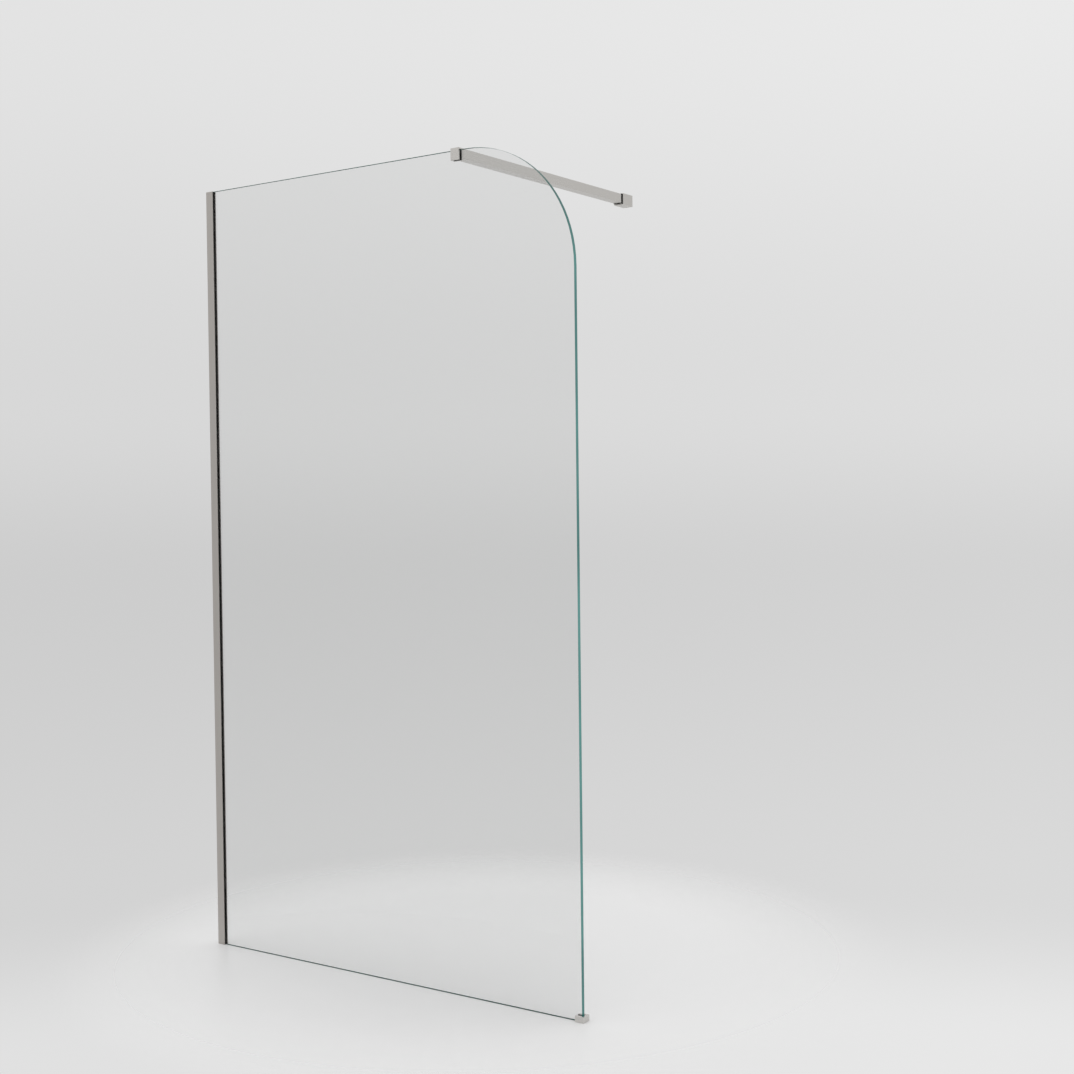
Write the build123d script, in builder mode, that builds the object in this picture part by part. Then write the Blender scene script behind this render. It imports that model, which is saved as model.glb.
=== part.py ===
"""Walk-in shower screen: one glass panel, held by a wall profile, a support bar and a floor foot.

Millimetres. X runs from the left wall along the glass, Y from the glass towards the back wall, Z up.
The origin is where the wall, the floor and the middle plane of the glass meet.
"""
import os

from build123d import *

# Driving sizes of the whole screen
overall_width = 1162.0
glass_height = 2000.0
glass_thickness = 10.0
corner_radius = 300.0
glass_arris = 0.3
wall_distance = 762.0

# Clearances
slide_gap = 0.2
bar_gap = 0.3
seal_gap = 0.15
thread_gap = 0.05
seat_gap = 0.1

# Wall profile, its gaskets and its packers
profile_depth = 23.0
profile_flange = 1.5
profile_web = 2.0
profile_edge_round = 0.5
gasket_start = 10.0
outer_gasket_thickness = 2.8
outer_gasket_recess = 0.3
inner_gasket_thickness = 1.2
inner_gasket_recess = 3.0
glass_inset = 8.0
wall_screw_hole_radius = 2.5
wall_screw_margin = 100.0
wall_screw_count = 4
packer_height = 40.0
packer_width = 11.0

# Clamp on the top edge of the glass
clamp_width = 24.0
clamp_height = 28.4
clamp_jaw = 3.8
clamp_bridge = 3.1
clamp_edge_round = 0.6
clamp_to_corner = 17.2
clamp_liner = 1.5
clamp_liner_top = 1.3
spigot_length = 18.0
pinch_screw_radius = 4.0
pinch_screw_length = 12.0
pinch_disc_radius = 6.0
pinch_disc_thickness = 1.5

# Support bar
bar_size = 24.0
bar_wall = 1.5
bar_round = 1.0
bar_below_clamp_top = 0.2
bar_screw_radius = 2.0
bar_screw_length = 6.0
bar_screw_recess = 0.3

# Wall socket at the far end of the bar
socket_length = 48.0
socket_side_wall = 2.2
socket_top_wall = 1.9
socket_bottom_wall = 4.0
socket_edge_round = 0.5
seal_length = 5.0
seal_sleeve_length = 3.0
seal_sleeve_wall = 0.8
seal_side = 0.9
seal_top = 0.9
seal_bottom = 1.3
wall_plate_thickness = 8.0
wall_plate_hole_radius = 2.25
wall_plate_hole_spacing = 13.0
wall_plate_head_radius = 4.2
wall_plate_head_depth = 4.0
bar_end_room = 4.0
lock_screw_radius = 2.5
lock_screw_inset = 12.0
lock_screw_recess = 0.2
lock_pad_thickness = 0.8
plate_screw_radius = 2.0
plate_screw_bite = 1.6
plate_screw_recess = 0.4

# Floor foot at the free bottom corner
foot_length = 24.0
foot_width = 26.0
foot_height = 14.0
foot_overhang = 8.6
foot_corner_round = 2.0
foot_edge_round = 0.6
foot_end_gap = 2.0
foot_liner = 1.2
foot_liner_recess = 0.5
foot_screw_radius = 2.5
foot_screw_length = 5.0
foot_screw_spacing = 9.0
foot_screw_height = 7.0
foot_plate_thickness = 1.5
foot_plate_length = 15.0
foot_plate_height = 8.0

# Hexagon sockets and tips of the grub screws, as shares of the screw's radius or length
key_share_of_radius = 0.55
key_share_of_length = 0.4
tip_share_of_radius = 0.2

# Places worked out from the sizes above
half_glass = glass_thickness / 2
corner_x = overall_width - corner_radius
channel_front = -half_glass - slide_gap - outer_gasket_thickness
channel_back = half_glass + slide_gap + inner_gasket_thickness
arm_x = corner_x - clamp_to_corner - clamp_width / 2
slot_half = half_glass + slide_gap + clamp_liner
clamp_back = slot_half + clamp_jaw
slot_top = glass_height + slide_gap + clamp_liner_top
clamp_top = slot_top + clamp_bridge
bar_z = clamp_top - bar_below_clamp_top - bar_size / 2
bar_bottom = bar_z - bar_size / 2
wall_plate_front = wall_distance - wall_plate_thickness
bar_end = wall_plate_front - bar_end_room
bar_inside = bar_size - 2 * bar_wall
spigot_size = bar_inside - 2 * seat_gap
socket_front = wall_distance - socket_length
socket_bore = bar_size + 2 * bar_gap
socket_floor = bar_bottom - bar_gap
foot_start = overall_width + foot_overhang - foot_length
foot_slot_end = overall_width + foot_end_gap + foot_liner
foot_slot_half = half_glass + foot_liner
foot_plate_x = (foot_start + foot_slot_end) / 2


def back_plane(y, x=arm_x, z=bar_z):
    """Plane across the bar's line, facing the back wall."""
    return Plane(origin=(x, y, z), x_dir=(-1, 0, 0), z_dir=(0, 1, 0))


def even_heights(count, margin):
    """Heights spread evenly over the glass, with a margin at both ends."""
    step = (glass_height - 2 * margin) / (count - 1)
    return [margin + step * index for index in range(count)]


def grub_screw(plane, spots, radius, length):
    """Grub screws, with the hexagon socket on the plane and the tip along its normal."""
    with BuildPart() as screw:
        with BuildSketch(plane):
            with Locations(*spots):
                Circle(radius)
        extrude(amount=length)
        tips = screw.faces().sort_by(Axis(plane.origin, plane.z_dir))[-len(spots):]
        chamfer(tips.edges(), radius * tip_share_of_radius)
        with BuildSketch(plane):
            with Locations(*spots):
                RegularPolygon(radius * key_share_of_radius, 6, major_radius=False)
        extrude(amount=length * key_share_of_length, mode=Mode.SUBTRACT)
    return screw


# Glass, with one large round corner at the free top end
with BuildPart() as glass_panel:
    with BuildSketch(Plane.XZ):
        with BuildLine():
            Polyline((corner_x, glass_height), (glass_inset, glass_height), (glass_inset, 0),
                     (overall_width, 0), (overall_width, glass_height - corner_radius))
            CenterArc((corner_x, glass_height - corner_radius), corner_radius, 0, 90)
        make_face()
    extrude(amount=half_glass, both=True)
    chamfer(glass_panel.faces().filter_by(Axis.Y).edges(), glass_arris)

# Channel screwed to the left wall, open towards the glass
with BuildPart() as wall_profile:
    with BuildSketch():
        with Locations((0, channel_front - profile_flange)):
            Rectangle(profile_depth, channel_back - channel_front + 2 * profile_flange,
                      align=(Align.MIN, Align.MIN))
        with Locations((profile_web, channel_front)):
            Rectangle(profile_depth, channel_back - channel_front, align=(Align.MIN, Align.MIN),
                      mode=Mode.SUBTRACT)
    extrude(amount=glass_height)
    flange_tips = wall_profile.faces().sort_by(Axis.X)[-2:]
    fillet(flange_tips.edges().filter_by(Axis.Z), profile_edge_round)
    with BuildSketch(Plane.YZ):
        with Locations(*[(0, z) for z in even_heights(wall_screw_count, wall_screw_margin)]):
            Circle(wall_screw_hole_radius)
    extrude(amount=profile_web, mode=Mode.SUBTRACT)


def profile_gasket(front, thickness, recess):
    """Strip between the glass and one flange, short of the flange's tip by the recess."""
    with BuildPart() as gasket:
        with BuildSketch():
            with Locations((gasket_start, front)):
                Rectangle(profile_depth - recess - gasket_start, thickness,
                          align=(Align.MIN, Align.MIN))
        extrude(amount=glass_height)
    return gasket


profile_gasket_outer = profile_gasket(channel_front, outer_gasket_thickness, outer_gasket_recess)
profile_gasket_inner = profile_gasket(half_glass + slide_gap, inner_gasket_thickness,
                                      inner_gasket_recess)

# Blocks between the edge of the glass and the channel's web, halfway between the wall screws
with BuildPart() as profile_packers:
    screw_heights = even_heights(wall_screw_count, wall_screw_margin)
    for low, high in zip(screw_heights, screw_heights[1:]):
        with BuildSketch(Plane.XY.offset((low + high - packer_height) / 2)):
            with Locations((profile_web, 0)):
                Rectangle(glass_inset - slide_gap - profile_web, packer_width,
                          align=(Align.MIN, Align.CENTER))
        extrude(amount=packer_height)

# Saddle over the top edge of the glass, with a hollow spigot that goes into the bar
with BuildPart() as glass_clamp:
    with BuildSketch(Plane.YZ.offset(arm_x)):
        with Locations((0, clamp_top)):
            Rectangle(2 * clamp_back, clamp_height, align=(Align.CENTER, Align.MAX))
        with Locations((0, slot_top)):
            Rectangle(2 * slot_half, clamp_height, align=(Align.CENTER, Align.MAX),
                      mode=Mode.SUBTRACT)
    extrude(amount=clamp_width / 2, both=True)
    jaw_faces = glass_clamp.faces().sort_by(Axis.Y)
    fillet(jaw_faces[0].edges() + jaw_faces[-1].edges(), clamp_edge_round)
    with BuildSketch(back_plane(clamp_back)):
        RectangleRounded(spigot_size, spigot_size, bar_round)
    extrude(amount=spigot_length)
    with BuildSketch(back_plane(slot_half)):
        Circle(pinch_screw_radius + thread_gap)
    extrude(amount=clamp_jaw + spigot_length, mode=Mode.SUBTRACT)
    with BuildSketch(back_plane(slot_half)):
        Circle(pinch_disc_radius + seat_gap)
    extrude(amount=pinch_disc_thickness, mode=Mode.SUBTRACT)
    with BuildSketch(Plane.XY.offset(bar_z)):
        with Locations((arm_x, clamp_back + spigot_length / 2)):
            Circle(bar_screw_radius + thread_gap)
    extrude(amount=-spigot_size, mode=Mode.SUBTRACT)

# Rubber saddle between the clamp and the glass
with BuildPart() as clamp_liner_saddle:
    with BuildSketch(Plane.YZ.offset(arm_x)):
        with Locations((0, slot_top)):
            Rectangle(2 * slot_half, clamp_height - clamp_bridge, align=(Align.CENTER, Align.MAX))
        with Locations((0, glass_height + slide_gap)):
            Rectangle(glass_thickness + 2 * slide_gap, clamp_height,
                      align=(Align.CENTER, Align.MAX), mode=Mode.SUBTRACT)
    extrude(amount=clamp_width / 2, both=True)

# Disc and screw inside the spigot, which press the liner on the glass
with BuildPart() as clamp_pressure_disc:
    with BuildSketch(back_plane(slot_half)):
        Circle(pinch_disc_radius)
    extrude(amount=pinch_disc_thickness)

pinch_screw_tip = slot_half + pinch_disc_thickness
clamp_pinch_screw = grub_screw(
    Plane(origin=(arm_x, pinch_screw_tip + pinch_screw_length, bar_z), z_dir=(0, -1, 0)),
    [(0, 0)], pinch_screw_radius, pinch_screw_length)

# Square tube from the clamp to the wall socket
with BuildPart() as support_bar:
    with BuildSketch(back_plane(clamp_back)):
        RectangleRounded(bar_size, bar_size, bar_round)
        Rectangle(bar_inside, bar_inside, mode=Mode.SUBTRACT)
    extrude(amount=bar_end - clamp_back)
    with BuildSketch(Plane.XY.offset(bar_bottom)):
        with Locations((arm_x, clamp_back + spigot_length / 2)):
            Circle(bar_screw_radius + thread_gap)
    extrude(amount=bar_wall, mode=Mode.SUBTRACT)

bar_lock_screw = grub_screw(
    Plane.XY.offset(bar_bottom + bar_screw_recess),
    [(arm_x, clamp_back + spigot_length / 2)], bar_screw_radius, bar_screw_length)


def bore_section(gap):
    """Square hole for the bar, with this gap on each side."""
    Rectangle(bar_size + 2 * gap, bar_size + 2 * gap, mode=Mode.SUBTRACT)


def block_section(side, top, bottom, size):
    """Rectangle around the bar's line, with its own margin at the sides, top and bottom."""
    with Locations((0, (top - bottom) / 2)):
        Rectangle(size + 2 * side, size + top + bottom)


# Block on the back wall that the bar slides into
with BuildPart() as wall_socket:
    with BuildSketch(back_plane(socket_front)):
        block_section(socket_side_wall, socket_top_wall, socket_bottom_wall, socket_bore)
        bore_section(bar_gap)
    extrude(amount=socket_length)
    fillet(wall_socket.faces().sort_by(Axis.Y)[0].outer_wire().edges(), socket_edge_round)
    with BuildSketch(back_plane(socket_front)):
        Rectangle(socket_bore + 2 * (seal_sleeve_wall + seat_gap),
                  socket_bore + 2 * (seal_sleeve_wall + seat_gap))
    extrude(amount=seal_sleeve_length + seat_gap, mode=Mode.SUBTRACT)
    with BuildSketch(Plane.XY.offset(socket_floor)):
        with Locations((arm_x, socket_front + lock_screw_inset)):
            Circle(lock_screw_radius + thread_gap)
        with Locations((arm_x, wall_distance - wall_plate_thickness / 2)):
            Circle(plate_screw_radius + thread_gap)
    extrude(amount=-socket_bottom_wall, mode=Mode.SUBTRACT)

# Black seal round the bar, at the mouth of the socket
with BuildPart() as socket_seal:
    with BuildSketch(back_plane(socket_front)):
        block_section(seal_side, seal_top, seal_bottom, bar_size)
        bore_section(seal_gap)
    extrude(amount=-seal_length)
    with BuildSketch(back_plane(socket_front)):
        Rectangle(socket_bore + 2 * seal_sleeve_wall, socket_bore + 2 * seal_sleeve_wall)
        bore_section(seal_gap)
    extrude(amount=seal_sleeve_length)

# Plate screwed to the back wall, inside the socket
with BuildPart() as socket_wall_plate:
    with BuildSketch(back_plane(wall_plate_front)):
        Rectangle(socket_bore - 2 * seat_gap, socket_bore - 2 * seat_gap)
    extrude(amount=wall_plate_thickness)
    plate_holes = [(-wall_plate_hole_spacing / 2, 0), (wall_plate_hole_spacing / 2, 0)]
    with BuildSketch(back_plane(wall_plate_front)):
        with Locations(*plate_holes):
            Circle(wall_plate_hole_radius)
    extrude(amount=wall_plate_thickness, mode=Mode.SUBTRACT)
    with BuildSketch(back_plane(wall_plate_front)):
        with Locations(*plate_holes):
            Circle(wall_plate_head_radius)
    extrude(amount=wall_plate_head_depth, mode=Mode.SUBTRACT)
    with BuildSketch(Plane.XY.offset(socket_floor)):
        with Locations((arm_x, wall_distance - wall_plate_thickness / 2)):
            Circle(plate_screw_radius + seat_gap)
    extrude(amount=plate_screw_bite + 2 * seat_gap, mode=Mode.SUBTRACT)

# Screws in the underside of the socket, and the pad that keeps one of them off the bar
lock_screw_top = socket_floor - lock_pad_thickness
lock_screw_bottom = socket_floor - socket_bottom_wall + lock_screw_recess
socket_lock_screw = grub_screw(
    Plane.XY.offset(lock_screw_bottom),
    [(arm_x, socket_front + lock_screw_inset)], lock_screw_radius,
    lock_screw_top - lock_screw_bottom)

with BuildPart() as socket_lock_pad:
    with BuildSketch(Plane.XY.offset(lock_screw_top)):
        with Locations((arm_x, socket_front + lock_screw_inset)):
            Circle(lock_screw_radius)
    extrude(amount=lock_pad_thickness)

plate_screw_bottom = socket_floor - socket_bottom_wall + plate_screw_recess
socket_plate_screw = grub_screw(
    Plane.XY.offset(plate_screw_bottom),
    [(arm_x, wall_distance - wall_plate_thickness / 2)], plate_screw_radius,
    socket_floor + plate_screw_bite - plate_screw_bottom)

# Foot round the free bottom corner of the glass, open underneath
foot_screw_spots = [(-foot_screw_spacing / 2, 0), (foot_screw_spacing / 2, 0)]
foot_back = foot_width / 2
foot_screw_plane = Plane(origin=(foot_plate_x, foot_back, foot_screw_height),
                         x_dir=(-1, 0, 0), z_dir=(0, 1, 0))

with BuildPart() as floor_foot:
    with BuildSketch():
        with Locations((foot_start + foot_length / 2, 0)):
            RectangleRounded(foot_length, foot_width, foot_corner_round)
    extrude(amount=foot_height)
    fillet(floor_foot.faces().sort_by(Axis.Z)[-1].edges(), foot_edge_round)
    with BuildSketch():
        with Locations((foot_slot_end, 0)):
            Rectangle(foot_length, 2 * foot_slot_half, align=(Align.MAX, Align.CENTER))
    extrude(amount=foot_height, mode=Mode.SUBTRACT)
    with BuildSketch(foot_screw_plane):
        with Locations(*foot_screw_spots):
            Circle(foot_screw_radius + thread_gap)
    extrude(amount=foot_slot_half - foot_back, mode=Mode.SUBTRACT)
    with BuildSketch(Plane.XY.offset(foot_screw_height - foot_plate_height / 2)):
        with Locations((foot_plate_x, foot_slot_half)):
            Rectangle(foot_plate_length + 2 * seat_gap, foot_plate_thickness,
                      align=(Align.CENTER, Align.MIN))
    extrude(amount=foot_plate_height + seat_gap, mode=Mode.SUBTRACT)

# Strip bent round the end of the glass, inside the foot
with BuildPart() as foot_liner_strip:
    with BuildSketch():
        with Locations((foot_slot_end, 0)):
            Rectangle(foot_slot_end - foot_start, 2 * foot_slot_half,
                      align=(Align.MAX, Align.CENTER))
        with Locations((overall_width + foot_end_gap, 0)):
            Rectangle(foot_length, glass_thickness, align=(Align.MAX, Align.CENTER),
                      mode=Mode.SUBTRACT)
    extrude(amount=foot_height - foot_liner_recess)

with BuildPart() as foot_pressure_plate:
    with BuildSketch(Plane.XY.offset(foot_screw_height - foot_plate_height / 2)):
        with Locations((foot_plate_x, foot_slot_half)):
            Rectangle(foot_plate_length, foot_plate_thickness, align=(Align.CENTER, Align.MIN))
    extrude(amount=foot_plate_height)

foot_screw_head = foot_slot_half + foot_plate_thickness + foot_screw_length
foot_grub_screws = grub_screw(
    Plane(origin=(foot_plate_x, foot_screw_head, foot_screw_height),
          x_dir=(1, 0, 0), z_dir=(0, -1, 0)),
    foot_screw_spots, foot_screw_radius, foot_screw_length)

pieces = {
    "glass_panel": glass_panel,
    "wall_profile": wall_profile,
    "profile_gasket_outer": profile_gasket_outer,
    "profile_gasket_inner": profile_gasket_inner,
    "profile_packers": profile_packers,
    "glass_clamp": glass_clamp,
    "clamp_liner": clamp_liner_saddle,
    "clamp_pressure_disc": clamp_pressure_disc,
    "clamp_pinch_screw": clamp_pinch_screw,
    "support_bar": support_bar,
    "bar_lock_screw": bar_lock_screw,
    "wall_socket": wall_socket,
    "socket_seal": socket_seal,
    "socket_wall_plate": socket_wall_plate,
    "socket_lock_screw": socket_lock_screw,
    "socket_lock_pad": socket_lock_pad,
    "socket_plate_screw": socket_plate_screw,
    "floor_foot": floor_foot,
    "foot_liner": foot_liner_strip,
    "foot_pressure_plate": foot_pressure_plate,
    "foot_grub_screws": foot_grub_screws,
}

os.makedirs("parts", exist_ok=True)
for name, piece in pieces.items():
    piece.part.label = name
    export_step(piece.part, f"parts/{name}.step")
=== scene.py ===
"""Looks of the walk-in shower screen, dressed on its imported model. Metres, in the model's own frame."""
import math

import bpy
from mathutils import Matrix, Vector


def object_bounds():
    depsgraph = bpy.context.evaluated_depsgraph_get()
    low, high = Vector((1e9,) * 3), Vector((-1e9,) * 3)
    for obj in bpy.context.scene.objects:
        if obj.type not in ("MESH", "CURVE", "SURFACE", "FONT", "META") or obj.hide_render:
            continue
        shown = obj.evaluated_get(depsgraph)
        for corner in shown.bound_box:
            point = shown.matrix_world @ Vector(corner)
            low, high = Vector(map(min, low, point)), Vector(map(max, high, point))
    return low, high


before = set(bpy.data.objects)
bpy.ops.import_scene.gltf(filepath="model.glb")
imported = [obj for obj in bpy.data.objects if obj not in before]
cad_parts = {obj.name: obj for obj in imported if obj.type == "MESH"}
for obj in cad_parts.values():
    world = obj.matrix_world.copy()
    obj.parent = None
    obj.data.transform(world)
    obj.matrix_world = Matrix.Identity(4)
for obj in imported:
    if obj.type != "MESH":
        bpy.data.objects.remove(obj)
cad_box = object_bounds()

# Camera, solved from the photograph's straight lines: metres, degrees and millimetres
camera_place = (3.102559, -2.933846, 1.186134)
camera_yaw = 34.98860
camera_pitch = -1.473188
camera_roll = -0.642256
camera_lens = 52.6228
camera_sensor = 36.0

# Colours, as linear red, green and blue
nickel_aluminium_colour = (0.488, 0.463, 0.437)
nickel_steel_colour = (0.580, 0.563, 0.538)
# Painted light: the foot's nickel is a lighter copy of the fittings' nickel
foot_nickel_painted_light_colour = (0.640, 0.622, 0.600)
plain_steel_colour = (0.560, 0.560, 0.570)
rubber_colour = (0.012, 0.011, 0.010)
liner_colour = (0.250, 0.250, 0.245)
nylon_colour = (0.800, 0.800, 0.780)
pane_colour = (0.908, 0.912, 0.910)
edge_dark_colour = (0.025, 0.137, 0.128)
edge_light_colour = (0.094, 0.296, 0.275)
# Painted shade: near-black green for the level (top and bottom) glass edges
edge_level_painted_shade_colour = (0.000, 0.065, 0.052)
floor_colour = (0.840, 0.840, 0.840)
light_colour = (1.0, 1.0, 1.0)

# Noise: its levels of detail, and the values below which it counts as 0 and above which as 1
noise_detail = 2.0
fine_detail = 3.0
noise_low = 0.3
noise_high = 0.7

# Brushed metal: cells in a metre across and along its lines, and how much the lines change it.
# A relief is a depth in metres and a strength.
brush_across = 2600.0
brush_along = 22.0
brush_tints = (0.97, 1.03)
brush_gloss = 0.03
brush_relief = (0.00001, 0.2)
smudge_cells = 9.0
smudge_gloss = 0.03
profile_roughness = 0.34
nickel_roughness = 0.30

# Fine grain of the other finishes: cells in a metre, and the range of tint and roughness
steel_grain_cells = 900.0
steel_tints = (0.90, 1.06)
steel_gloss = (0.28, 0.42)
steel_relief = (0.00002, 0.4)
rubber_grain_cells = 1700.0
rubber_wear_cells = 35.0
rubber_worn_tint = 1.7
rubber_specular = 0.35
rubber_gloss = (0.52, 0.72)
rubber_relief = (0.00004, 0.5)
nylon_grain_cells = 1200.0
nylon_dark_tint = 0.96
nylon_gloss = (0.40, 0.55)
nylon_relief = (0.00003, 0.3)
nylon_scatter = 0.1
nylon_scatter_depth = 0.002

# Glass: a face counts as a pane where its direction is this near to Y
pane_facing = 0.9
glass_index = 1.5
edge_line_cells = (6.0, 3500.0, 6.0)
edge_cloud_cells = 4.0
edge_gloss = (0.06, 0.22)
edge_relief = (0.00002, 0.3)
# Specular of upright edges, and of level edges, lowered along with their painted shade
edge_upright_specular = 0.5
edge_level_specular = 0.0

# Backdrop brightness by height above the horizon, as the sine of the angle
backdrop_stops = ((-0.32, 0.750), (-0.24, 0.650), (-0.05, 0.612), (0.06, 0.685), (0.30, 0.770))

# The backdrop grows brighter by this factor from one sideways direction to another
backdrop_gain = 1.07
backdrop_plain_side = -0.75
backdrop_bright_side = -0.30

# Light that reaches matte surfaces from all round
light_strength = 0.95

# Floor
floor_drop = 0.0003
floor_radius = 9.0
floor_sides = 128
floor_solid_radius = 0.55
floor_gone_radius = 1.15
floor_roughness = 0.35
floor_specular = 0.2

# Lamp above the camera's left
lamp_place = (-0.6, -3.6, 4.4)
lamp_target = (0.6, 0.2, 0.9)
lamp_size = 3.2
lamp_power = 14.0


class Nodes:
    """Short calls for building one node tree."""

    def __init__(self, tree):
        self.tree = tree
        self.tree.nodes.clear()

    def add(self, kind, **settings):
        """A node of this kind, with its plain settings."""
        node = self.tree.nodes.new(kind)
        for key, value in settings.items():
            setattr(node, key, value)
        return node

    def link(self, source, target):
        """A wire from one socket to another."""
        self.tree.links.new(source, target)

    def noise(self, cells, detail=noise_detail):
        """Noise from 0 to 1, with its number of cells in a metre along X, Y and Z."""
        place = self.add("ShaderNodeTexCoord")
        stretch = self.add("ShaderNodeMapping")
        stretch.inputs["Scale"].default_value = cells
        self.link(place.outputs["Object"], stretch.inputs["Vector"])
        field = self.add("ShaderNodeTexNoise")
        field.inputs["Scale"].default_value = 1.0
        field.inputs["Detail"].default_value = detail
        self.link(stretch.outputs["Vector"], field.inputs["Vector"])
        return field.outputs["Fac"]

    def between(self, factor, low, high, start=noise_low, end=noise_high):
        """A number that goes from low to high as the factor goes from start to end."""
        span = self.add("ShaderNodeMapRange")
        span.inputs["From Min"].default_value = start
        span.inputs["From Max"].default_value = end
        span.inputs["To Min"].default_value = low
        span.inputs["To Max"].default_value = high
        self.link(factor, span.inputs["Value"])
        return span.outputs["Result"]

    def calculate(self, operation, first, second=None):
        """One sum on one or two numbers or sockets."""
        step = self.add("ShaderNodeMath", operation=operation)
        for socket, value in zip(step.inputs, (first, second)):
            if isinstance(value, (int, float)):
                socket.default_value = value
            elif value is not None:
                self.link(value, socket)
        return step.outputs["Value"]

    def blend(self, factor, first, second):
        """A colour between two colours or sockets."""
        mix = self.add("ShaderNodeMix", data_type="RGBA")
        for key, colour in (("A", first), ("B", second)):
            if isinstance(colour, tuple):
                mix.inputs[key].default_value = (*colour, 1.0)
            else:
                self.link(colour, mix.inputs[key])
        self.link(factor, mix.inputs["Factor"])
        return mix.outputs["Result"]

    def bump(self, height, depth, strength):
        """Surface direction from a height, with its depth in metres."""
        relief = self.add("ShaderNodeBump")
        relief.inputs["Distance"].default_value = depth
        relief.inputs["Strength"].default_value = strength
        self.link(height, relief.inputs["Height"])
        return relief.outputs["Normal"]

    def surface(self, **numbers):
        """Principled shader with plain numbers on its sockets."""
        shader = self.add("ShaderNodeBsdfPrincipled")
        for key, value in numbers.items():
            shader.inputs[key.replace("_", " ")].default_value = value
        return shader

    def coat(self, shader, tint, gloss, grain, relief):
        """Joins colour, gloss and a fine relief to a shader."""
        self.link(tint, shader.inputs["Base Color"])
        self.link(gloss, shader.inputs["Roughness"])
        self.link(self.bump(grain, *relief), shader.inputs["Normal"])
        return shader.outputs["BSDF"]

    def mix(self, factor, first, second):
        """One shader where the factor is 0 and the other where it is 1."""
        mixer = self.add("ShaderNodeMixShader")
        for socket, source in zip(mixer.inputs, (factor, first, second)):
            self.link(source, socket)
        return mixer.outputs["Shader"]

    def finish(self, shader, kind="ShaderNodeOutputMaterial"):
        """Sends the shader to the tree's output."""
        self.link(shader, self.add(kind).inputs["Surface"])


def new_material(name):
    """An empty material and its node builder."""
    made = bpy.data.materials.new(name)
    made.use_nodes = True
    return made, Nodes(made.node_tree)


def scaled(colour, factor):
    """The colour, lighter or darker by a factor."""
    return tuple(part * factor for part in colour)


def even(cells):
    """The same number of cells along X, Y and Z."""
    return (cells, cells, cells)


def brushed_metal(name, colour, along, roughness):
    """Metal with fine brush lines along one axis, and faint wide clouds in its gloss."""
    made, nodes = new_material(name)
    lines = nodes.noise([brush_along if axis == along else brush_across for axis in "XYZ"])
    clouds = nodes.noise(even(smudge_cells), detail=fine_detail)
    dark, light = (scaled(colour, factor) for factor in brush_tints)
    tint = nodes.blend(nodes.between(lines, 0.0, 1.0), dark, light)
    fine_gloss = nodes.between(lines, roughness - brush_gloss, roughness + brush_gloss)
    wide_gloss = nodes.between(clouds, -smudge_gloss, smudge_gloss)
    gloss = nodes.calculate("ADD", fine_gloss, wide_gloss)
    shader = nodes.surface(Metallic=1.0)
    nodes.finish(nodes.coat(shader, tint, gloss, lines, brush_relief))
    return made


def plain_steel():
    """Machined steel of the screws and hidden plates."""
    made, nodes = new_material("plain_steel")
    grain = nodes.noise(even(steel_grain_cells), detail=fine_detail)
    dark, light = (scaled(plain_steel_colour, factor) for factor in steel_tints)
    tint = nodes.blend(nodes.between(grain, 0.0, 1.0), dark, light)
    gloss = nodes.between(grain, *steel_gloss)
    shader = nodes.surface(Metallic=1.0)
    nodes.finish(nodes.coat(shader, tint, gloss, grain, steel_relief))
    return made


def matte_rubber(name, colour):
    """Matte rubber with a fine grain and faint wear."""
    made, nodes = new_material(name)
    grain = nodes.noise(even(rubber_grain_cells), detail=fine_detail)
    wear = nodes.noise(even(rubber_wear_cells))
    worn = scaled(colour, rubber_worn_tint)
    tint = nodes.blend(nodes.between(wear, 0.0, 1.0), colour, worn)
    gloss = nodes.between(grain, *rubber_gloss)
    shader = nodes.surface(Specular_IOR_Level=rubber_specular)
    nodes.finish(nodes.coat(shader, tint, gloss, grain, rubber_relief))
    return made


def white_nylon():
    """Moulded white nylon with a soft sheen."""
    made, nodes = new_material("white_nylon")
    grain = nodes.noise(even(nylon_grain_cells))
    dark = scaled(nylon_colour, nylon_dark_tint)
    tint = nodes.blend(nodes.between(grain, 0.0, 1.0), dark, nylon_colour)
    gloss = nodes.between(grain, *nylon_gloss)
    shader = nodes.surface(Subsurface_Weight=nylon_scatter, Subsurface_Scale=nylon_scatter_depth)
    nodes.finish(nodes.coat(shader, tint, gloss, grain, nylon_relief))
    return made


def pane_shader(nodes):
    """Clear glass that lets the light through to what lies behind it."""
    pane = nodes.surface(Base_Color=(*pane_colour, 1.0), Roughness=0.0, IOR=glass_index,
                         Transmission_Weight=1.0)
    see_through = nodes.add("ShaderNodeBsdfTransparent")
    light_path = nodes.add("ShaderNodeLightPath")
    return nodes.mix(light_path.outputs["Is Shadow Ray"], pane.outputs["BSDF"],
                     see_through.outputs["BSDF"])


def edge_shader(nodes, level):
    """Green polished edge; where it lies level, painted shade makes it near black and its specular is
    lower.
    """
    lines = nodes.noise(edge_line_cells)
    clouds = nodes.noise(even(edge_cloud_cells))
    green = nodes.blend(nodes.between(clouds, 0.0, 1.0), edge_dark_colour, edge_light_colour)
    # Painted shade: level edges blend towards the near-black colour
    tint = nodes.blend(level, green, edge_level_painted_shade_colour)
    gloss = nodes.between(lines, *edge_gloss)
    shader = nodes.surface(IOR=glass_index)
    nodes.link(nodes.between(level, edge_upright_specular, edge_level_specular, 0.0, 1.0),
               shader.inputs["Specular IOR Level"])
    return nodes.coat(shader, tint, gloss, lines, edge_relief)


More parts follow.
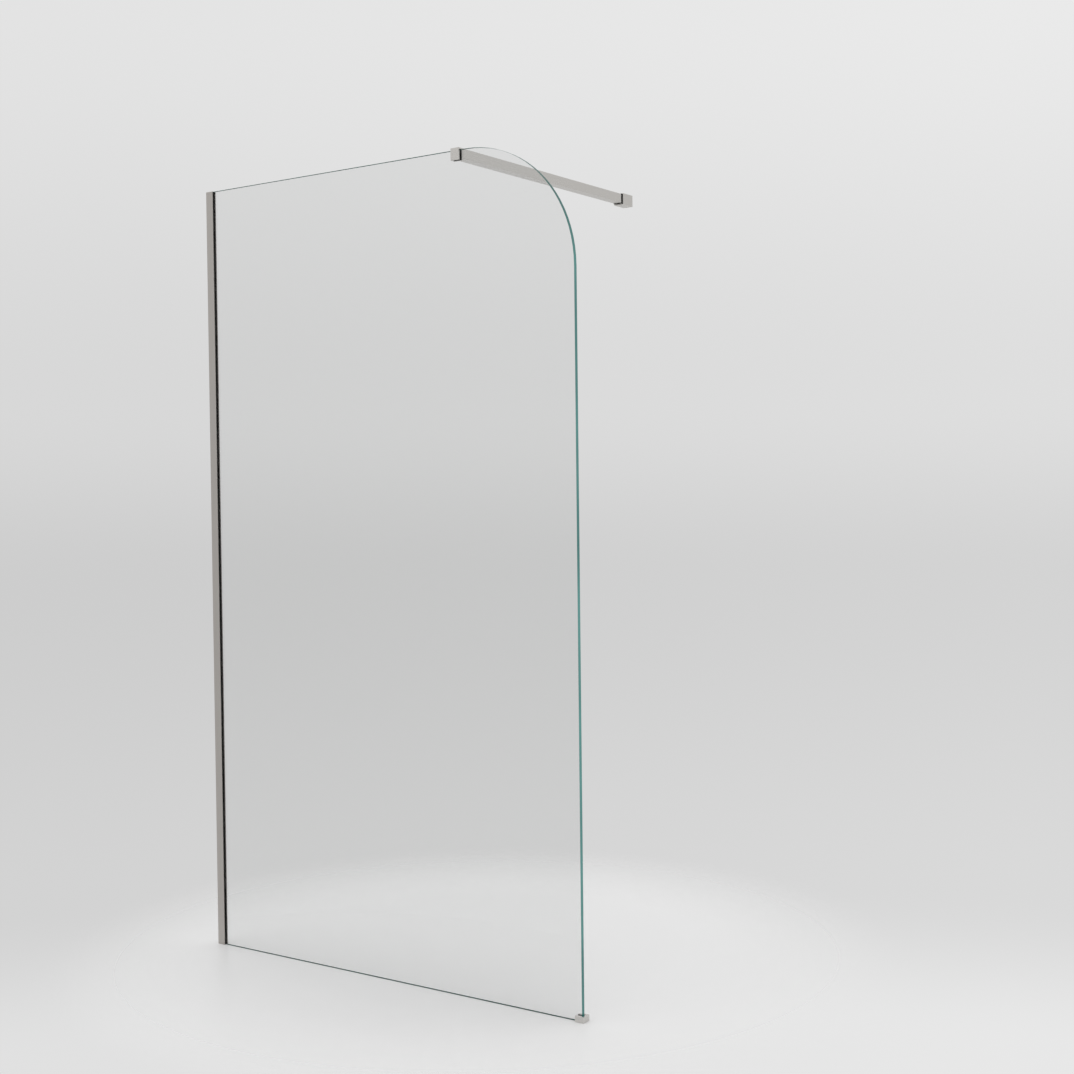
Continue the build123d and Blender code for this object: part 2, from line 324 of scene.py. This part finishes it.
def clear_glass():
    """Clear pane with green polished edges."""
    made, nodes = new_material("clear_glass")
    shape = nodes.add("ShaderNodeNewGeometry")
    split = nodes.add("ShaderNodeSeparateXYZ")
    nodes.link(shape.outputs["True Normal"], split.inputs["Vector"])
    # How level each face lies: the mask for the edges' painted shade
    level = nodes.calculate("ABSOLUTE", split.outputs["Z"])
    facing = nodes.calculate("ABSOLUTE", split.outputs["Y"])
    is_edge = nodes.calculate("LESS_THAN", facing, pane_facing)
    nodes.finish(nodes.mix(is_edge, pane_shader(nodes), edge_shader(nodes, level)))
    return made


def dress(material, *names):
    """Gives CAD nodes one material."""
    for name in names:
        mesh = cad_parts[name].data
        mesh.materials.clear()
        mesh.materials.append(material)


def dress_all():
    """Gives every CAD node its finish."""
    dress(clear_glass(), "glass_panel")
    dress(brushed_metal("nickel_profile", nickel_aluminium_colour, "Z", profile_roughness),
          "wall_profile")
    dress(brushed_metal("nickel_bar", nickel_steel_colour, "Y", nickel_roughness), "support_bar")
    dress(brushed_metal("nickel_blocks", nickel_steel_colour, "X", nickel_roughness),
          "glass_clamp", "wall_socket")
    # Painted light: the foot gets the lighter copy of the nickel finish
    dress(brushed_metal("painted_light_foot_nickel", foot_nickel_painted_light_colour, "X", nickel_roughness), "floor_foot")
    dress(matte_rubber("black_rubber", rubber_colour), "profile_gasket_outer",
          "profile_gasket_inner", "clamp_liner", "socket_seal")
    dress(matte_rubber("grey_rubber", liner_colour), "foot_liner")
    dress(plain_steel(), "clamp_pinch_screw", "clamp_pressure_disc", "bar_lock_screw",
          "socket_wall_plate", "socket_lock_screw", "socket_plate_screw", "foot_pressure_plate",
          "foot_grub_screws")
    dress(white_nylon(), "profile_packers", "socket_lock_pad")


def floor_material(centre):
    """Pale floor that fades into the backdrop away from the screen."""
    made, nodes = new_material("pale_floor")
    place = nodes.add("ShaderNodeTexCoord")
    away = nodes.add("ShaderNodeVectorMath", operation="DISTANCE")
    away.inputs[1].default_value = centre
    nodes.link(place.outputs["Object"], away.inputs[0])
    fade = nodes.add("ShaderNodeMapRange", interpolation_type="SMOOTHSTEP")
    fade.inputs["From Min"].default_value = floor_solid_radius
    fade.inputs["From Max"].default_value = floor_gone_radius
    nodes.link(away.outputs["Value"], fade.inputs["Value"])
    solid = nodes.surface(Base_Color=(*floor_colour, 1.0), Roughness=floor_roughness,
                          Specular_IOR_Level=floor_specular)
    clear = nodes.add("ShaderNodeBsdfTransparent")
    nodes.finish(nodes.mix(fade.outputs["Result"], solid.outputs["BSDF"], clear.outputs["BSDF"]))
    return made


def make_floor():
    """Round floor just under the screen."""
    low, high = cad_box
    centre = ((low.x + high.x) / 2, (low.y + high.y) / 2, 0.0)
    bpy.ops.mesh.primitive_circle_add(vertices=floor_sides, radius=floor_radius,
                                      fill_type="NGON", location=(0, 0, -floor_drop))
    floor = bpy.context.object
    floor.name = "floor"
    floor.data.materials.append(floor_material(centre))


def backdrop_ramp(nodes, height):
    """Grey of the backdrop at a height above the horizon."""
    lowest, highest = backdrop_stops[0][0], backdrop_stops[-1][0]
    ramp = nodes.add("ShaderNodeValToRGB")
    ramp.color_ramp.interpolation = "EASE"
    for sine, _ in backdrop_stops[1:-1]:
        ramp.color_ramp.elements.new((sine - lowest) / (highest - lowest))
    for element, (_, brightness) in zip(ramp.color_ramp.elements, backdrop_stops):
        element.color = (brightness, brightness, brightness, 1.0)
    nodes.link(nodes.between(height, 0.0, 1.0, lowest, highest), ramp.inputs["Fac"])
    return ramp.outputs["Color"]


def make_world():
    """Even light, with a pale backdrop that the camera, metal and glass see."""
    world = bpy.data.worlds.new("studio")
    bpy.context.scene.world = world
    world.use_nodes = True
    nodes = Nodes(world.node_tree)
    direction = nodes.add("ShaderNodeTexCoord")
    split = nodes.add("ShaderNodeSeparateXYZ")
    nodes.link(direction.outputs["Generated"], split.inputs["Vector"])
    seen = nodes.add("ShaderNodeBackground")
    nodes.link(backdrop_ramp(nodes, split.outputs["Z"]), seen.inputs["Color"])
    gain = nodes.between(split.outputs["X"], 1.0, backdrop_gain, backdrop_plain_side,
                         backdrop_bright_side)
    nodes.link(gain, seen.inputs["Strength"])
    light = nodes.add("ShaderNodeBackground")
    light.inputs["Strength"].default_value = light_strength
    light.inputs["Color"].default_value = (*light_colour, 1.0)
    light_path = nodes.add("ShaderNodeLightPath")
    rays = [light_path.outputs[f"Is {kind} Ray"] for kind in ("Camera", "Glossy", "Transmission")]
    is_seen = nodes.calculate("MAXIMUM", nodes.calculate("MAXIMUM", rays[0], rays[1]), rays[2])
    backdrop = nodes.mix(is_seen, light.outputs["Background"], seen.outputs["Background"])
    nodes.finish(backdrop, "ShaderNodeOutputWorld")


def make_lamp():
    """One large soft lamp, high on the camera's side of the screen."""
    data = bpy.data.lights.new("soft_lamp", "AREA")
    data.shape = "SQUARE"
    data.size = lamp_size
    data.energy = lamp_power
    lamp = bpy.data.objects.new("soft_lamp", data)
    bpy.context.scene.collection.objects.link(lamp)
    lamp.location = lamp_place
    towards = Vector(lamp_target) - Vector(lamp_place)
    lamp.rotation_euler = towards.to_track_quat("-Z", "Y").to_euler()


def make_camera():
    """The photograph's camera."""
    yaw, pitch, roll = (math.radians(turn) for turn in (camera_yaw, camera_pitch, camera_roll))
    forward = Vector((-math.sin(yaw) * math.cos(pitch), math.cos(yaw) * math.cos(pitch),
                      math.sin(pitch)))
    level = Vector((math.cos(yaw), math.sin(yaw), 0.0))
    upright = level.cross(forward)
    right = level * math.cos(roll) + upright * math.sin(roll)
    up = upright * math.cos(roll) - level * math.sin(roll)
    data = bpy.data.cameras.new("photo_camera")
    data.lens = camera_lens
    data.sensor_width = camera_sensor
    data.sensor_fit = "HORIZONTAL"
    camera = bpy.data.objects.new("photo_camera", data)
    bpy.context.scene.collection.objects.link(camera)
    turn = Matrix((right, up, -forward)).transposed().to_4x4()
    camera.matrix_world = Matrix.Translation(camera_place) @ turn
    bpy.context.scene.camera = camera


bpy.context.scene.view_settings.view_transform = "Standard"
make_camera()
make_world()
make_floor()
make_lamp()
dress_all()
